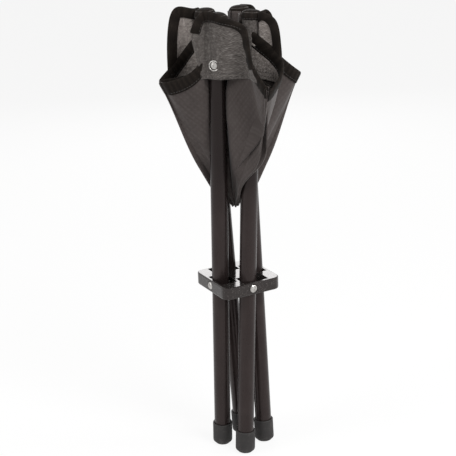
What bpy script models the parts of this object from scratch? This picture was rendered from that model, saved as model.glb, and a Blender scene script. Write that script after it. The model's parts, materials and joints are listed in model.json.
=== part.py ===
"""Folding camping stool: four steel tube legs pinned to a square hub, with a square fabric seat.

It is modelled folded and standing on its feet, in metres, +Z up, with the origin on the floor below the hub.
Each leg is built in its own frame: x points out of the hub's side, y the way the leg's top opens, z up the tube.
"""
import math

import bmesh
import bpy
from mathutils import Matrix, Vector

# Fits
FIT_GAP = 0.0003                # between pieces that touch
CLOTH_GAP = 0.0005              # between the seat and what it hangs beside

# Legs
TUBE_DIAMETER = 0.019
TUBE_WALL = 0.0012
LEG_RISE = 0.300                # pivot to the tube's upper end
LEG_DROP = 0.200                # pivot to the tube's lower end
LEG_OFFSET = 0.0225             # hub's axis to a tube's axis
FOLDED_TILT = 3.0               # degrees from upright
OPEN_TILT = 45.0

# Hub
HUB_SIDE = 0.072
HUB_THICKNESS = 0.014
HUB_CORNER_RADIUS = 0.009
HUB_EDGE_ROUND = 0.0012
SLOT_CLEARANCE = 0.0006         # between a tube and its slot

# Pivot rivets
PIN_DIAMETER = 0.005
PIN_HEAD_DIAMETER = 0.0092
PIN_HEAD_HEIGHT = 0.0018
PIN_RECESS_DEPTH = 0.0008
PIN_ENGAGEMENT = 0.006          # length held in the middle of the hub

# Foot caps
FOOT_WALL = 0.0016
FOOT_GRIP = 0.021               # length over the tube
FOOT_SOLE = 0.0055              # below the tube's end
FOOT_ROUND = 0.0028
FOOT_TREAD_STEP = 0.0012

# End plugs
PLUG_LENGTH = 0.014
PLUG_DOME = 0.004

# Seat pockets and their rivets
POCKET_WALL = 0.0012
POCKET_LENGTH = 0.058           # below the tube's upper end
POCKET_ROUND = 0.004
RIVET_DIAMETER = 0.004
RIVET_HEAD_DIAMETER = 0.0085
RIVET_HEAD_HEIGHT = 0.0016
RIVET_ABOVE_HEM = 0.011         # from the pocket's lower edge
RIVET_TAIL = 0.0025             # inside the tube
RIVET_TURN = 45.0               # degrees round the tube, from straight out of the hub's side

# Seat
CLOTH_THICKNESS = 0.0008
FOLD_REACH = 0.087              # along a seat edge, from a corner to the fold beside it
FLAP_TURN = -8.0                # degrees, from halfway between two seat corners to the flap between them
FLAP_TIP_GAP = 0.016            # between the two folds at a flap's tip
CENTRE_GAP = 0.034              # height of the facets' lower ends above the seat's centre

ROUND_SEGMENTS = 32
PIN_SEGMENTS = 20
LEG_AZIMUTHS = {"right": 0.0, "back": 90.0, "left": 180.0, "front": 270.0}

# Sizes that follow from those above
TUBE_RADIUS = TUBE_DIAMETER / 2
TUBE_BORE_RADIUS = TUBE_RADIUS - TUBE_WALL
PIN_BORE_RADIUS = PIN_DIAMETER / 2 + FIT_GAP
RIVET_BORE_RADIUS = RIVET_DIAMETER / 2 + FIT_GAP
RIVET_DROP = POCKET_LENGTH - RIVET_ABOVE_HEM
POCKET_BORE_RADIUS = TUBE_RADIUS + FIT_GAP
POCKET_RADIUS = POCKET_BORE_RADIUS + POCKET_WALL
POCKET_TOP = LEG_RISE + FIT_GAP + PLUG_DOME + FIT_GAP + POCKET_WALL
FOOT_BORE_RADIUS = TUBE_RADIUS + FIT_GAP
FOOT_RADIUS = FOOT_BORE_RADIUS + FOOT_WALL
TREAD_RADIUS = FOOT_RADIUS - FOOT_ROUND
SLOT_HALF_WIDTH = TUBE_RADIUS + SLOT_CLEARANCE
FOLDED = math.radians(FOLDED_TILT)
OPEN = math.radians(OPEN_TILT)
FOOT_LENGTH = LEG_DROP + FOOT_SOLE
PIVOT_HEIGHT = FOOT_LENGTH * math.cos(FOLDED) + TREAD_RADIUS * math.sin(FOLDED)


def leg_frame(leg, tilt):
    """Placement of a leg's frame when the leg leans by tilt."""
    turn = Matrix.Rotation(math.radians(LEG_AZIMUTHS[leg]), 4, "Z")
    pivot = Matrix.Translation((LEG_OFFSET, 0, PIVOT_HEIGHT))
    return turn @ pivot @ Matrix.Rotation(-tilt, 4, "X")


def next_leg(leg):
    names = list(LEG_AZIMUTHS)
    return names[(names.index(leg) + 1) % len(names)]


def leg_before(leg):
    names = list(LEG_AZIMUTHS)
    return names[names.index(leg) - 1]


# The folded seat: a square whose corners meet over the hub, with a flap of cloth folded out between each two

def seat_corner(leg, tilt):
    """On the tube's axis, at its upper end."""
    return leg_frame(leg, tilt) @ Vector((0, 0, LEG_RISE))


def half_diagonal():
    """Seat corner to seat centre: the seat is flat when the legs are open."""
    return seat_corner("right", OPEN).xy.length


def folded_centre():
    corner = seat_corner("right", FOLDED)
    drop = math.sqrt(half_diagonal() ** 2 - corner.xy.length_squared)
    return Vector((0, 0, corner.z - drop))


def square_to(line, vector):
    """The direction of a vector's part that is square to a line."""
    line = line.normalized()
    return (vector - line * vector.dot(line)).normalized()


def fold_at(corner, turn, reach):
    """Where a seat edge folds, at this reach from a corner, on a wing that hangs out at this turn."""
    crease = (folded_centre() - corner).normalized()
    azimuth = math.atan2(corner.y, corner.x) + turn
    outward = square_to(crease, Vector((math.cos(azimuth), math.sin(azimuth), 0)))
    return corner + (crease + outward) * reach / math.sqrt(2)


def tuck_at(first, second, reaches):
    """Middle of a seat edge, tucked in between the two folds at its flap's tip."""
    centre = folded_centre()
    half_edge = half_diagonal() / math.sqrt(2)
    first_run, second_run = half_edge - reaches[0], half_edge - reaches[1]
    gap = (second - first).length
    across = (second - first) / gap
    share = (first_run ** 2 - second_run ** 2 + gap ** 2) / (2 * gap)
    ring_centre = first + across * share
    ring = math.sqrt(first_run ** 2 - share ** 2)
    offset = across.dot(ring_centre - centre)
    inward = (centre - ring_centre) + across * offset
    depth = inward.length
    inward.normalize()
    sideways = inward.cross(across)
    along = (ring ** 2 + depth ** 2 + offset ** 2 - half_edge ** 2) / (2 * depth)
    swing = math.sqrt(ring ** 2 - along ** 2)
    choices = [ring_centre + inward * along + sideways * swing * sign for sign in (1, -1)]
    return min(choices, key=lambda point: point.xy.length)


def flap_at(leg, lean, shift):
    """Folds of the seat edge from this leg to the next: the tip on each side, the tucked middle and both reaches."""
    turn = math.radians(FLAP_TURN)
    aside = math.radians(45.0) + lean
    reaches = FOLD_REACH - shift, FOLD_REACH + shift
    first = fold_at(seat_corner(leg, FOLDED), turn + aside, reaches[0])
    second = fold_at(seat_corner(next_leg(leg), FOLDED), turn - aside, reaches[1])
    return first, second, tuck_at(first, second, reaches), reaches


def fold_angle(fold_end, one, two):
    """Angle between two facets at the fold from the seat's centre to fold_end."""
    fold = fold_end - folded_centre()
    return square_to(fold, one - fold_end).angle(square_to(fold, two - fold_end))


def halve(low, high, too_low):
    """The value between low and high where too_low turns false."""
    for _ in range(30):
        middle = (low + high) / 2
        low, high = (middle, high) if too_low(middle) else (low, middle)
    return (low + high) / 2


def flap_evenly_tucked(leg, lean):
    """The flap whose tucks hang midway between its two wings."""
    def nearer_the_first(shift):
        first, second, middle, _ = flap_at(leg, lean, shift)
        first_angle = fold_angle(first, seat_corner(leg, FOLDED), middle)
        return first_angle < fold_angle(second, seat_corner(next_leg(leg), FOLDED), middle)

    return flap_at(leg, lean, halve(-FOLD_REACH / 15, FOLD_REACH / 15, nearer_the_first))


def folded_flap(leg):
    """The flap with the wanted gap at its tip, found by leaning its wings together."""
    def too_wide(lean):
        first, second, _, _ = flap_evenly_tucked(leg, lean)
        return (second - first).length > FLAP_TIP_GAP

    return flap_evenly_tucked(leg, halve(-math.radians(10), math.radians(10), too_wide))


FLAPS = {leg: folded_flap(leg) for leg in LEG_AZIMUTHS}


def wing_tip(leg, side):
    """The fold beside a corner; side is +1 towards the next leg, -1 towards the one before."""
    return FLAPS[leg][0] if side > 0 else FLAPS[leg_before(leg)][1]


def fold_reach(leg, side):
    return FLAPS[leg][3][0] if side > 0 else FLAPS[leg_before(leg)][3][1]


def fold_inset(angle):
    """How far two facets stop short of the fold they share, so that their thicknesses stay clear."""
    return (CLOTH_THICKNESS * math.cos(angle / 2) + CLOTH_GAP) / (2 * math.sin(angle / 2))


def tube_inset(leg, side):
    """How far a wing stops short of the crease behind its leg, so that it hangs beside the pocket and the tube."""
    corner = seat_corner(leg, FOLDED)
    crease = folded_centre() - corner
    outward = square_to(crease, wing_tip(leg, side) - corner)
    normal = crease.cross(outward).normalized()
    insets = []
    for height, radius in ((LEG_RISE, POCKET_RADIUS), (LEG_RISE - POCKET_LENGTH, POCKET_RADIUS),
                           (LEG_RISE - POCKET_LENGTH, TUBE_RADIUS), (LEG_RISE / 2, TUBE_RADIUS)):
        aside = leg_frame(leg, FOLDED) @ Vector((0, 0, height)) - corner
        clear = radius + CLOTH_GAP + CLOTH_THICKNESS / 2
        depth = min(abs(aside.dot(normal)), clear)
        insets.append(aside.dot(outward) + math.sqrt(clear ** 2 - depth ** 2))
    return max(insets)


def inset_facet(first, second, first_inset, second_inset):
    """Corners of a facet from the seat's edge towards its centre, with its two folded sides moved in."""
    apex = folded_centre()
    to_first = first - apex
    to_second = second - apex
    sine = math.sin(to_first.angle(to_second))
    share_second = first_inset / (to_second.length * sine)
    share_first = second_inset / (to_first.length * sine)
    tip = apex + to_first * share_first + to_second * share_second
    top_first = apex + to_first * (1 - share_second) + to_second * share_second
    top_second = apex + to_first * share_first + to_second * (1 - share_first)
    floor = max(apex.z + CENTRE_GAP, tip.z + CENTRE_GAP / 3)
    ends = [top.lerp(tip, (top.z - floor) / (top.z - tip.z)) for top in (top_second, top_first)]
    return [top_first, top_second, *ends]


# Scene helpers

def clear_scene():
    for item in list(bpy.data.objects):
        bpy.data.objects.remove(item, do_unlink=True)


def new_collection(name):
    group = bpy.data.collections.new(name)
    bpy.context.scene.collection.children.link(group)
    return group


def new_material(name, colour, roughness, metallic):
    made = bpy.data.materials.new(name)
    made.use_nodes = True
    shader = made.node_tree.nodes["Principled BSDF"]
    shader.inputs["Base Color"].default_value = (*colour, 1)
    shader.inputs["Roughness"].default_value = roughness
    shader.inputs["Metallic"].default_value = metallic
    return made


clear_scene()
PARTS = new_collection("folding_camping_stool")
CUTTERS = new_collection("cutters")
TUBE_PAINT = new_material("tube_paint", (0.028, 0.024, 0.023), 0.38, 0.0)
HUB_PLASTIC = new_material("hub_plastic", (0.018, 0.018, 0.018), 0.28, 0.0)
RUBBER = new_material("foot_rubber", (0.022, 0.021, 0.021), 0.75, 0.0)
PLUG_PLASTIC = new_material("plug_plastic", (0.02, 0.02, 0.02), 0.5, 0.0)
BRIGHT_STEEL = new_material("rivet_steel", (0.75, 0.75, 0.74), 0.25, 1.0)
GREY_CLOTH = new_material("pocket_cloth", (0.13, 0.13, 0.13), 0.9, 0.0)
SEAT_CLOTH = new_material("seat_cloth", (0.035, 0.032, 0.03), 0.85, 0.0)


def new_object(name, mesh, group, parent=None, material=None):
    made = bpy.data.objects.new(name, mesh)
    group.objects.link(made)
    made.parent = parent
    if material:
        mesh.materials.append(material)
    return made


def new_empty(name, placement, parent=None):
    made = new_object(name, None, PARTS, parent)
    made.matrix_local = placement
    made.empty_display_size = 0.02
    return made


def mesh_from(name, build):
    shape = bmesh.new()
    build(shape)
    mesh = bpy.data.meshes.new(name)
    shape.to_mesh(mesh)
    shape.free()
    return mesh


def shade_round(item):
    item.data.shade_smooth()
    item.data.set_sharp_from_angle(angle=math.radians(35))


def turned(name, profile, parent, material):
    """A shape turned about z, from (radius, height) points that start and end on the axis or form a ring."""
    closed = profile[0][0] > 0 and profile[-1][0] > 0

    def build(shape):
        points = [shape.verts.new((radius, 0, height)) for radius, height in profile]
        for one, two in zip(points, points[1:]):
            shape.edges.new((one, two))
        if closed:
            shape.edges.new((points[-1], points[0]))

    made = new_object(name, mesh_from(name, build), PARTS, parent, material)
    spin = made.modifiers.new("turn", "SCREW")
    spin.steps = spin.render_steps = ROUND_SEGMENTS
    spin.use_merge_vertices = True
    spin.merge_threshold = 0.00001
    return made


def cylinder_mesh(name, radius, length, segments):
    """A cylinder along x, from the origin to length."""
    def build(shape):
        bmesh.ops.create_cone(shape, cap_ends=True, segments=segments, radius1=radius, radius2=radius,
                              depth=length)
        bmesh.ops.rotate(shape, verts=shape.verts, matrix=Matrix.Rotation(math.radians(90), 3, "Y"))
        bmesh.ops.translate(shape, verts=shape.verts, vec=(length / 2, 0, 0))

    return mesh_from(name, build)


def box_mesh(name, size):
    def build(shape):
        bmesh.ops.create_cube(shape, size=1)
        bmesh.ops.scale(shape, verts=shape.verts, vec=size)

    return mesh_from(name, build)


def add_cutter(name, mesh, placement, parent=None):
    made = new_object(name, mesh, CUTTERS, parent)
    made.matrix_local = placement
    made.hide_render = True
    made.display_type = "WIRE"
    return made


def cut(item, cutter):
    modifier = item.modifiers.new("cut_" + cutter.name, "BOOLEAN")
    modifier.operation = "DIFFERENCE"
    modifier.object = cutter


def arc(centre, radius, start, end, steps):
    """Points of an arc, as (radius, height) pairs, with angles in degrees."""
    angles = [math.radians(start + (end - start) * step / steps) for step in range(steps + 1)]
    return [(centre[0] + radius * math.cos(a), centre[1] + radius * math.sin(a)) for a in angles]


# Leg pieces, each in the frame of its leg

def make_tube(leg, frame):
    tube = turned("leg_tube_" + leg, [
        (TUBE_RADIUS, LEG_RISE), (TUBE_RADIUS, -LEG_DROP),
        (TUBE_BORE_RADIUS, -LEG_DROP), (TUBE_BORE_RADIUS, LEG_RISE)], frame, TUBE_PAINT)
    pin_bore = cylinder_mesh("tube_pin_bore", PIN_BORE_RADIUS, TUBE_DIAMETER * 2, PIN_SEGMENTS)
    cut(tube, add_cutter("tube_pin_bore_" + leg, pin_bore, Matrix.Translation((-TUBE_DIAMETER, 0, 0)), frame))
    rivet_bore = cylinder_mesh("tube_rivet_bore", RIVET_BORE_RADIUS, TUBE_DIAMETER, PIN_SEGMENTS)
    cut(tube, add_cutter("tube_rivet_bore_" + leg, rivet_bore, rivet_axis(), frame))


def make_foot(leg, frame):
    top = -LEG_DROP + FOOT_GRIP
    sole = -FOOT_LENGTH
    edge = sole + FOOT_TREAD_STEP + FOOT_ROUND
    seat = -LEG_DROP - FIT_GAP
    rounded = arc((FOOT_RADIUS - FOOT_ROUND, edge), FOOT_ROUND, 0, -90, 5)
    turned("foot_cap_" + leg, [
        (FOOT_RADIUS - FOOT_WALL / 3, top), (FOOT_RADIUS, top - FOOT_WALL / 2), *rounded,
        (TREAD_RADIUS, sole), (0, sole), (0, seat), (FOOT_BORE_RADIUS, seat), (FOOT_BORE_RADIUS, top)],
        frame, RUBBER)


def make_plug(leg, frame):
    seat = LEG_RISE + FIT_GAP
    shank = TUBE_BORE_RADIUS - FIT_GAP
    dome = [(TUBE_RADIUS * math.sin(math.radians(a)), seat + PLUG_DOME * math.cos(math.radians(a)))
            for a in (0, 20, 40, 60, 78)]
    turned("end_plug_" + leg, [*dome, (TUBE_RADIUS, seat), (shank, seat), (shank, LEG_RISE - PLUG_LENGTH),
                               (0, LEG_RISE - PLUG_LENGTH)], frame, PLUG_PLASTIC)


def rivet_axis():
    """Out of the pocket between its two wings, above its hem."""
    return Matrix.Translation((0, 0, LEG_RISE - RIVET_DROP)) @ Matrix.Rotation(math.radians(RIVET_TURN), 4, "Z")


def make_pocket(leg, frame):
    hem = LEG_RISE - POCKET_LENGTH
    ceiling = POCKET_TOP - POCKET_WALL
    shoulder = arc((POCKET_RADIUS - POCKET_ROUND, POCKET_TOP - POCKET_ROUND), POCKET_ROUND, 90, 0, 4)
    pocket = turned("seat_pocket_" + leg, [
        (0, POCKET_TOP), *shoulder, (POCKET_RADIUS, hem), (POCKET_BORE_RADIUS, hem),
        (POCKET_BORE_RADIUS, POCKET_TOP - POCKET_ROUND), (POCKET_BORE_RADIUS - POCKET_WALL, ceiling),
        (0, ceiling)], frame, GREY_CLOTH)
    bore = cylinder_mesh("pocket_rivet_bore", RIVET_BORE_RADIUS, TUBE_DIAMETER, PIN_SEGMENTS)
    cut(pocket, add_cutter("pocket_rivet_bore_" + leg, bore, rivet_axis(), frame))


def rivet_profile(shank, head, height, start, seat):
    """A rivet along z, from its tail at start to a domed head on seat."""
    dome = [(head * math.sin(math.radians(a)), seat + height * math.cos(math.radians(a)))
            for a in (0, 25, 50, 72)]
    return [*dome, (head, seat), (shank, seat), (shank, start), (0, start)]


def make_pocket_rivet(leg, frame):
    seat = POCKET_RADIUS + FIT_GAP
    start = TUBE_BORE_RADIUS - RIVET_TAIL
    profile = rivet_profile(RIVET_DIAMETER / 2, RIVET_HEAD_DIAMETER / 2, RIVET_HEAD_HEIGHT, start, seat)
    rivet = turned("pocket_rivet_" + leg, profile, frame, BRIGHT_STEEL)
    rivet.matrix_local = rivet_axis() @ Matrix.Rotation(math.radians(90), 4, "Y")


# Hub pieces, fixed

def make_hub(root):
    def build(shape):
        bmesh.ops.create_cube(shape, size=1)
        bmesh.ops.scale(shape, verts=shape.verts, vec=(HUB_SIDE, HUB_SIDE, HUB_THICKNESS))
        upright = [e for e in shape.edges if abs(e.verts[0].co.z - e.verts[1].co.z) > HUB_THICKNESS / 2]
        bmesh.ops.bevel(shape, geom=upright, offset=HUB_CORNER_RADIUS, segments=6, affect="EDGES", profile=0.5)
        level = [e for e in shape.edges if abs(e.verts[0].co.z - e.verts[1].co.z) < HUB_THICKNESS / 2]
        bmesh.ops.bevel(shape, geom=level, offset=HUB_EDGE_ROUND, segments=2, affect="EDGES", profile=0.5)

    hub = new_object("hub_body", mesh_from("hub_body", build), PARTS, root, HUB_PLASTIC)
    hub.location.z = PIVOT_HEIGHT
    slot_length = 4 * HUB_THICKNESS + TUBE_DIAMETER
    slot = box_mesh("hub_slot", (2 * SLOT_HALF_WIDTH, 2 * SLOT_HALF_WIDTH, slot_length))
    bore = cylinder_mesh("hub_pin_bore", PIN_BORE_RADIUS, HUB_SIDE / 2, PIN_SEGMENTS)
    recess = cylinder_mesh("hub_pin_recess", PIN_HEAD_DIAMETER / 2 + FIT_GAP * 2, HUB_SIDE / 2, PIN_SEGMENTS)
    for leg in LEG_AZIMUTHS:
        for name, tilt in (("folded", FOLDED), ("open", OPEN)):
            cut(hub, add_cutter("hub_slot_%s_%s" % (leg, name), slot, leg_frame(leg, tilt)))
        turn = leg_frame(leg, 0)
        start = LEG_OFFSET - SLOT_HALF_WIDTH - PIN_ENGAGEMENT - FIT_GAP
        cut(hub, add_cutter("hub_pin_bore_" + leg, bore, turn @ Matrix.Translation((start - LEG_OFFSET, 0, 0))))
        face = HUB_SIDE / 2 - PIN_RECESS_DEPTH
        cut(hub, add_cutter("hub_pin_recess_" + leg, recess, turn @ Matrix.Translation((face - LEG_OFFSET, 0, 0))))


def make_pivot_rivet(leg, root):
    start = LEG_OFFSET - SLOT_HALF_WIDTH - PIN_ENGAGEMENT
    seat = HUB_SIDE / 2 - PIN_RECESS_DEPTH + FIT_GAP
    profile = rivet_profile(PIN_DIAMETER / 2, PIN_HEAD_DIAMETER / 2, PIN_HEAD_HEIGHT, start, seat)
    rivet = turned("pivot_rivet_" + leg, profile, root, BRIGHT_STEEL)
    turn = Matrix.Rotation(math.radians(LEG_AZIMUTHS[leg]), 4, "Z")
    rivet.matrix_local = Matrix.Translation((0, 0, PIVOT_HEIGHT)) @ turn @ Matrix.Rotation(math.radians(90), 4, "Y")


# Seat facets, each parented to an empty on its fold

def make_facet(name, corners, hinge_point, root):
    hinge = new_empty(name + "_fold", Matrix.Translation(hinge_point), root)

    def build(shape):
        shape.faces.new([shape.verts.new(corner - hinge_point) for corner in corners])

    facet = new_object(name, mesh_from(name, build), PARTS, hinge, SEAT_CLOTH)
    wall = facet.modifiers.new("cloth", "SOLIDIFY")
    wall.thickness = CLOTH_THICKNESS
    wall.offset = 0
    return facet


def make_seat(root):
    for leg in LEG_AZIMUTHS:
        corner = seat_corner(leg, FOLDED)
        for side, label in ((1, "a"), (-1, "b")):
            tip = wing_tip(leg, side)
            first, second, middle, _ = FLAPS[leg if side > 0 else leg_before(leg)]
            crest = fold_inset(fold_angle(tip, corner, middle))
            valley = fold_inset(fold_angle(middle, first, second))
            wing = inset_facet(corner, tip, tube_inset(leg, side), crest)
            tuck = inset_facet(middle, tip, valley, crest)
            make_facet("seat_wing_%s_%s" % (leg, label), wing, corner, root)
            make_facet("seat_tuck_%s_%s" % (leg, label), tuck, tip, root)


def main():
    root = new_empty("stool_origin", Matrix.Identity(4))
    make_hub(root)
    for leg in LEG_AZIMUTHS:
        frame = new_empty("leg_pivot_" + leg, leg_frame(leg, FOLDED), root)
        make_tube(leg, frame)
        make_foot(leg, frame)
        make_plug(leg, frame)
        make_pocket(leg, frame)
        make_pocket_rivet(leg, frame)
        make_pivot_rivet(leg, root)
    make_seat(root)
    for item in PARTS.objects:
        if item.type == "MESH" and not item.name.startswith("seat_wing") and not item.name.startswith("seat_tuck"):
            shade_round(item)


main()
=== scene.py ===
"""Looks of the folding camping stool: painted tubes, moulded hub, rubber feet and a bound, patched seat.

The seat hangs folded as a funnel between the four legs. Each of its sixteen facets is a cloth slab that
lies in the plane of its fold, with its sag, wrinkles and swing across that plane. The slabs turn with their
facets as the legs open, so the facets close to one square seat.
"""

import json
import math

import bpy
from mathutils import Matrix, Vector, noise

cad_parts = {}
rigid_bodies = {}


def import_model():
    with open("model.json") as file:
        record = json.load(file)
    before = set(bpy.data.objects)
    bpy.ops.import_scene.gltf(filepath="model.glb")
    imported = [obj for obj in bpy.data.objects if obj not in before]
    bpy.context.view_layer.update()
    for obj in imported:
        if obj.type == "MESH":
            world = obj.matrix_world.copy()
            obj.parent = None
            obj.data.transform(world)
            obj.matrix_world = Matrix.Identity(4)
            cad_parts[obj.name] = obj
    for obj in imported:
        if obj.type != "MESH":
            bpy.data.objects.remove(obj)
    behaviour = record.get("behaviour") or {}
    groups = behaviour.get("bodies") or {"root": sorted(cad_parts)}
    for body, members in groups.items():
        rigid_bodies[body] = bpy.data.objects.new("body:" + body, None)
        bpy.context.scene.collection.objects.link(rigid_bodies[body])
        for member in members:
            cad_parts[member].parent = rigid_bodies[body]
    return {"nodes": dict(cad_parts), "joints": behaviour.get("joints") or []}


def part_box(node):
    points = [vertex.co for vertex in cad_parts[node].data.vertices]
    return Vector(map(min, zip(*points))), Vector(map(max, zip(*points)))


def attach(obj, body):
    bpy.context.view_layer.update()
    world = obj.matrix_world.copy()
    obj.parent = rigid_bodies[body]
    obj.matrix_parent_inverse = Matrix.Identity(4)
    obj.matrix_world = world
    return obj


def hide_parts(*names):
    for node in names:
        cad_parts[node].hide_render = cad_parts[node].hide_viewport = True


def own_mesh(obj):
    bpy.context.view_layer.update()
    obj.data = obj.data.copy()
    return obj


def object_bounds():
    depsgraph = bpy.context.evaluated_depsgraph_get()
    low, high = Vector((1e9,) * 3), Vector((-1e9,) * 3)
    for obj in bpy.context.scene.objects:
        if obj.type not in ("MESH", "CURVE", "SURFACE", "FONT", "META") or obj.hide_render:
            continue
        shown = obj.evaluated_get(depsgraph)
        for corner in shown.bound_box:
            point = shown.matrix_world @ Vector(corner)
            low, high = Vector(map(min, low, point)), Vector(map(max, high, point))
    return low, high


for default_object in list(bpy.data.objects):
    bpy.data.objects.remove(default_object)

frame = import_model()
CAD_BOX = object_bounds()
JOINTS = {joint["name"]: joint for joint in frame["joints"]}

LEGS = ("right", "back", "left", "front")
OPENING_JOINT = "front_leg_fold"

# Tubes and pockets
TUBE_RADIUS = 0.0095
POCKET_RADIUS = 0.0115
POCKET_LENGTH = 0.058
POCKET_CLEARANCE = 0.0006       # between a pocket and the cloth that passes behind it
POCKET_CROWN = 0.0058           # top of a pocket above the tube's end
LINING_CROWN = 0.0044
CAP_CROWN = 0.0067
CAP_FLOOR = -0.0026
RIVET_BELOW_TOP = 0.047         # down its wing, from the seat's corner
EYELET_SEAT_RADIUS = 0.0122
EYELET_RADIUS = 0.0052
EYELET_ROLL = 0.0007
ROUND_STEPS = 56

# Cloth of the wings and tucks
CLOTH_THICKNESS = 0.0011
WING_COLUMNS = 44
TUCK_COLUMNS = 22
FACET_STEPS = 64
BOTTOM_SHARE = 0.996            # of a facet's depth, where its cloth ends
WING_PUFF = 0.012               # how far a wing bellies out
PUFF_LOST_BELOW = 0.7           # share of it that is lost towards the seat's bottom
POCKET_STEP_BELOW = 0.004       # below a pocket, where the cloth starts to come in to the tube
POCKET_STEP_LENGTH = 0.016
DIP_EXCESS = 1.05               # of the cloth behind a tube, over what clears the tube
DIP_WIDTH = 1.9                 # over which that dip runs out, in distances that clear the tube
BEHIND_TUBE_STRIP = 0.0095      # of a wing, past its crease
STRIP_FADES_FROM = 0.05         # down the wing
STRIP_FADE = 0.09
STRIP_COLUMNS = 4
LIP_COLUMNS = 6
CREST_SLOPE = 0.45              # fall of the cloth as it rounds the nose of a flap
LIP_AT_TIP = 0.003              # reach of the cloth past the crest fold
LIP_BELOW = 0.012
EDGE_SAG = 0.009                # of the seat's edge, below the straight line from its corner to its fold
EDGE_SAGS = {"wing_left_a": 0.002, "wing_left_b": 0.020, "wing_front_b": 0.004}
FOLD_HEIGHT = 0.0009
FOLDS_IN_FAN = 21.0             # phase of the folds in a radian of their fan
CREASE_HEIGHT = 0.0017
CREASES_DOWN = 38.0             # cells of their noise in a metre
CREASES_ACROSS = 52.0
SLACK_REACH = 0.16              # from the seat's bottom, over which folds and creases grow
PATTERN_SHIFT = 0.37            # between the facets' places on the flat pattern
CUT_MARGIN = 0.004              # added to a facet's depth when it is cut

# Corner patches and their tabs
PATCH_THICKNESS = 0.0010
PATCH_SINK = 0.0004             # how far a patch lies in the cloth below it
PATCH_FACE = PATCH_THICKNESS - PATCH_SINK
PATCH_HEM = 0.060               # below the seat's corner
PATCH_UNDER_TAPE = 0.005
WIDE_PATCH_REACH = PATCH_HEM - 0.010
NARROW_PATCH_HEM = 0.0235       # width at the hem of a half with a free side
INNER_PATCH_START = 0.002
INNER_PATCH_REACH = 0.050
INNER_PATCH_SINK = 0.0003
INNER_PATCH_BELOW_EDGE = 0.010
INNER_HEM_LOWER = 0.002         # than the hem of the outer patch
SHIELD_RADIUS = 0.0119          # tube's axis to the patch in front of it
SHIELD_BLEND = 0.0036           # roundness where the patch comes down on the wing
PATCH_CREASE = 0.0007
RIVET_DENT = 0.0016
RIVET_DENT_RADIUS = 0.0075
RIVET_ASIDE = 0.0098            # rivet's place across the patch, from the tube's axis
# A tab's reach across its wing, and how late it drops to the seat's edge
PATCH_TABS = {"wing_left_a": (0.045, 2.0), "wing_left_b": (0.029, 3.0), "wing_back_a": (0.048, 4.0),
              "wing_front_a": (0.027, 3.0), "wing_right_b": (0.025, 4.0)}
PLAIN_TAB = (0.031, 4.0)
TAB_TOPS = {"wing_left_a": 0.010, "wing_left_b": 0.010, "wing_back_a": 0.0165, "wing_front_a": 0.0115}
TAB_TOP_AT_TUBE = 0.0065
FREE_TAB = "wing_left_b"
FREE_TAB_DROP = 0.008

# Binding tape: its section is (inset from the edge in widths, height above the cloth in thicknesses)
BINDING_WIDTH = 0.0105
BINDING_THICKNESS = 0.0034
BINDING_SECTION = ((1.0, 0.30), (0.96, 0.47), (0.20, 0.50), (0.05, 0.42), (-0.05, 0.22), (-0.085, 0.0),
                   (-0.05, -0.22), (0.05, -0.42), (0.20, -0.50), (0.96, -0.47), (1.0, -0.30))
BINDING_WRAP = 0.004            # flat width of the tape's fold
EDGE_TAPE_START = 0.012         # along the seat's edge, from its corner
EDGE_TAPE_STARTS = {"wing_front_b": 0.004}

# Flap between the left and the front leg: how far its facets swing, and where the swing sets in
SWING_REACH = {"wing_left_a": 0.0275, "tuck_left_a": 0.0280, "tuck_front_b": 0.0190, "wing_front_b": 0.0180}
SWING_FROM = 0.022
SWING_TO = 0.050
SWING_LOW = 0.306
SWING_HIGH = 0.350
SWUNG_NOSE = 0.0035
SWUNG_PUFFS = {"wing_left_a": 0.005, "wing_front_b": 0.014}
SWUNG_STRETCH = 0.9             # share of the swing that widens the flat pattern
SWUNG_PATCH_FROM = 0.016        # across the wing, where a patch starts to follow its swung wing
SWUNG_PATCH_BLEND = 0.016
SWUNG_PATCH_BELOW = 0.004

# Stitches
STITCH_PITCH = 0.0031
STITCH_LENGTH = 0.0024
THREAD_DIAMETER = 0.0006
TAPE_SEAM_INSET = 0.0018        # from the tape's inner edge
TAPE_SEAM_PROUD = 0.00005
TUCK_SEAM_START = 0.004
INNER_SEAM_START = 0.016        # on the upper face of a wing
SEAM_END_GAP = 0.002
HEM_SEAM_INSETS = (0.0022, 0.0062)
SIDE_SEAM_INSET = 0.0024

# Finishes
PAINTED_SHADE_FROM = 0.285         # height where painted shade of the seat's cloth starts to darken the tubes' paint
PAINTED_SHADE_TO = 0.345           # and where the painted shade is darkest
PAINTED_SHADE_LEFT = 0.30               # share of the paint's colour that the painted shade leaves there
DUSTY_SOLE = 0.010              # height up to which the feet are dusty
SEAT_WEAVE_PHASE = 1250.0       # waves of threads and ribs, in radians of phase in a metre
PATCH_WEAVE_PHASE = 1050.0
TAPE_RIB_PHASE = 900.0
PHASE_AT_SCALE_ONE = 20.0       # of a wave texture, in the same measure
DIAGONAL = 0.70711              # the threads lie along the seat's sides

# Camera and studio
PHOTO_PIXELS = 456
FOCAL_PIXELS = 1158.0
SENSOR_WIDTH = 36.0
CAMERA_AZIMUTH = -28.4
CAMERA_ELEVATION = 18.56
CAMERA_ROLL = -2.23
CAMERA_DISTANCE = 1.300
AIM_ABOVE_PIVOT = 0.062
AIM_TO_THE_LEFT = 0.0089
LAMPS_AIM_HEIGHT = 0.28
LIGHT_AROUND = 0.30             # strength of the surroundings as light on the stool
FLOOR_WHITE = 0.88              # share of the floor that is plain white, while the rest takes shadow
FLOOR_HALF_SIDE = 6.0
FLOOR_GAP = 0.0002


def within(x):
    """The share x, kept between 0 and 1."""
    return min(1.0, max(0.0, x))


def smooth(x):
    """Eases from 0 to 1 while x goes from 0 to 1."""
    x = within(x)
    return x * x * (3 - 2 * x)


# Finishes


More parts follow.
